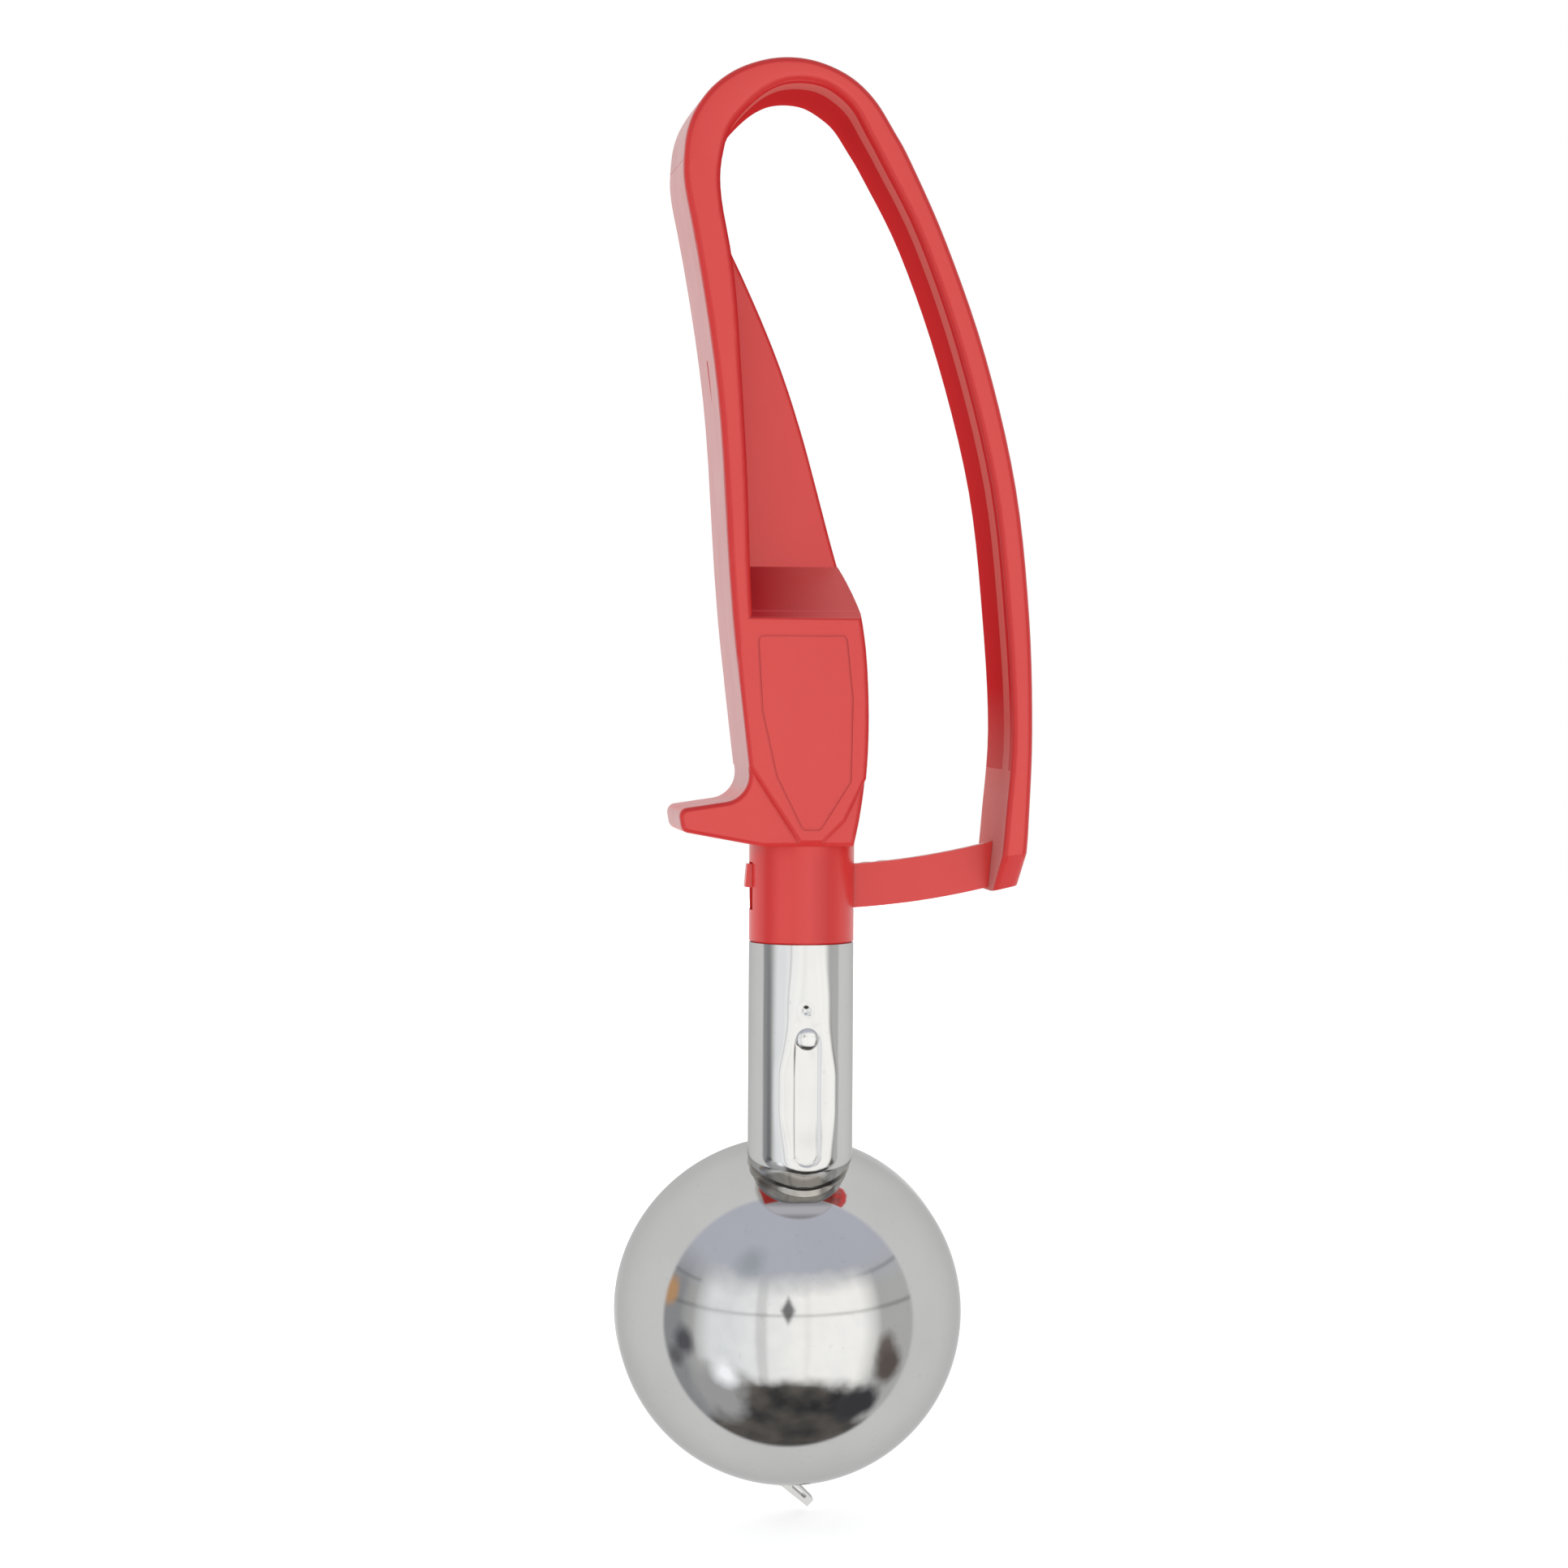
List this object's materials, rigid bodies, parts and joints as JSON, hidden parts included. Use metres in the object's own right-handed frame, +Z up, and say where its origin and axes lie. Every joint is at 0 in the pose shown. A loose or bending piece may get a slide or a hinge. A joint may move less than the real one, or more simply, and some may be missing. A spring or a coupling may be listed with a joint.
{
  "type": "lever ice cream scoop",
  "caption": "Squeeze-handle ice cream scoop: a springy loop handle drives a rack and pinion that turns a sweep blade in a round metal bowl.",
  "frame": {"origin": "hanging point: the middle of the handle loop's inner surface, straight above the neck tube's axis", "axes": "+Z up along the neck tube towards the loop, +X towards the squeeze lever, +Y towards the open side of the bowl"},
  "size_m": [0.0602, 0.0337, 0.2208],
  "materials": {
    "moulding": "satin gloss red nylon moulding",
    "polished_steel": "bright polished stainless steel",
    "mechanism_steel": "satin stainless steel",
    "rivet_steel": "burnished rivet head",
    "braze": "polished silver braze",
    "washer": "natural nylon"
  },
  "bodies": {
    "handle": {"handle_grip": "moulding", "spring_bow": "moulding", "neck_tube": "polished_steel", "tube_rivet": "rivet_steel", "braze_bead": "braze", "bowl": "polished_steel"},
    "lever": {"squeeze_lever": "moulding", "rack_arm": "moulding"},
    "sweep": {"pinion": "mechanism_steel", "thrust_washer": "washer", "sweep_shaft": "mechanism_steel", "sweep_blade": "mechanism_steel"}
  },
  "joints": [
    {"name": "lever_squeeze", "type": "hinge", "parent": "handle", "child": "lever", "pos_m": [0, 0, 0.0021], "axis": [0, 1, 0], "range_deg": [0, 4.12], "stiffness_Nm_per_rad": 18, "springref_deg": -0.57, "deforming": ["spring_bow"]},
    {"name": "sweep_turn", "type": "hinge", "parent": "handle", "child": "sweep", "pos_m": [0, 0.0039, -0.11875], "axis": [0, 0.1152, -0.9933], "range_deg": [0, 178]}
  ],
  "couplings": [
    {"joint": "sweep_turn", "follows": "lever_squeeze", "ratio": 43.161}
  ]
}
